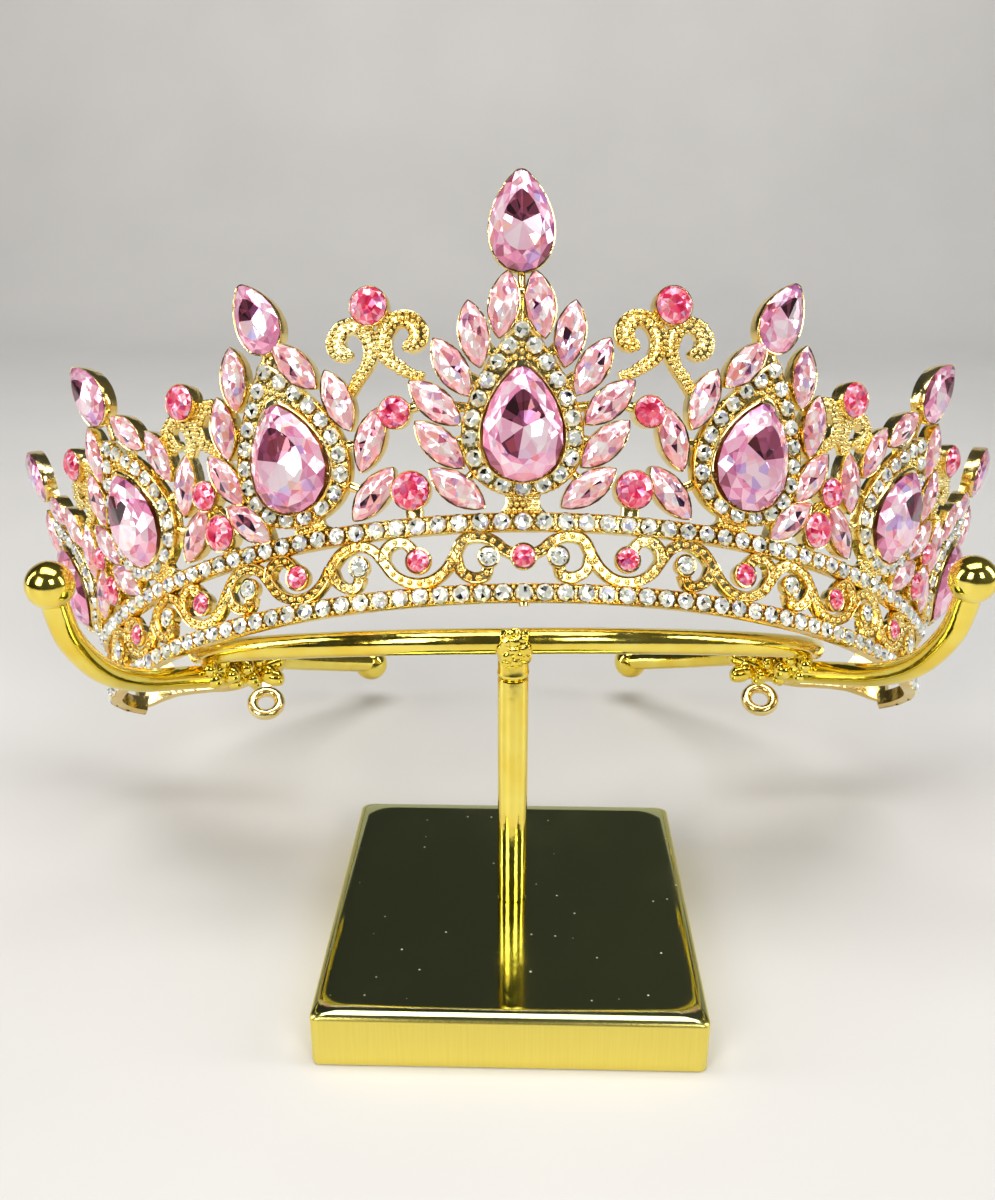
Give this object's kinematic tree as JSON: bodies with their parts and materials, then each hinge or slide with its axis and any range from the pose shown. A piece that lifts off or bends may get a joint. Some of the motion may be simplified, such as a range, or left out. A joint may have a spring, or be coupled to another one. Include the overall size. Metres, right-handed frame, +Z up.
{
  "type": "tiara on display stand",
  "caption": "Gilt tiara of drop shaped pink stones in halos, with scrollwork between stone rails, resting on a plain stand with a square plate, post and open ring holder.",
  "frame": {"origin": "centre of the base plate's underside", "axes": "+Z up, -Y to the front where the tiara's middle stone faces, +X to the wearer's left"},
  "size_m": [0.2011, 0.1248, 0.1237],
  "materials": {
    "plate_brass": "polished brass, mirror bright on top and finely brushed on the edges",
    "stand_gold": "polished gold plate",
    "tiara_gold": "bright pale gold plate over a cast frame",
    "pink_crystal": "faceted foiled glass, rose pink",
    "coral_crystal": "faceted foiled glass, coral pink"
  },
  "bodies": {
    "root": {"base_plate": "plate_brass", "post": "stand_gold", "holder": "stand_gold", "tiara_frame": "tiara_gold", "pear_centre": "pink_crystal", "pear_first_left": "pink_crystal", "pear_first_right": "pink_crystal", "pear_second_left": "pink_crystal", "pear_second_right": "pink_crystal", "pear_third_left": "pink_crystal", "pear_third_right": "pink_crystal", "top_pear_centre": "pink_crystal", "top_pear_first_left": "pink_crystal", "top_pear_first_right": "pink_crystal", "top_pear_second_left": "pink_crystal", "top_pear_second_right": "pink_crystal", "top_pear_third_left": "pink_crystal", "top_pear_third_right": "pink_crystal", "round_stone_left_1": "coral_crystal", "round_stone_left_2": "coral_crystal", "round_stone_left_3": "coral_crystal", "round_stone_left_4": "coral_crystal", "round_stone_left_5": "coral_crystal", "round_stone_left_6": "coral_crystal", "round_stone_right_1": "coral_crystal", "round_stone_right_2": "coral_crystal", "round_stone_right_3": "coral_crystal", "round_stone_right_4": "coral_crystal", "round_stone_right_5": "coral_crystal", "round_stone_right_6": "coral_crystal", "heart_stone_left_1": "coral_crystal", "heart_stone_left_2": "coral_crystal", "heart_stone_left_3": "coral_crystal", "heart_stone_right_1": "coral_crystal", "heart_stone_right_2": "coral_crystal", "heart_stone_right_3": "coral_crystal"}
  },
  "joints": []
}
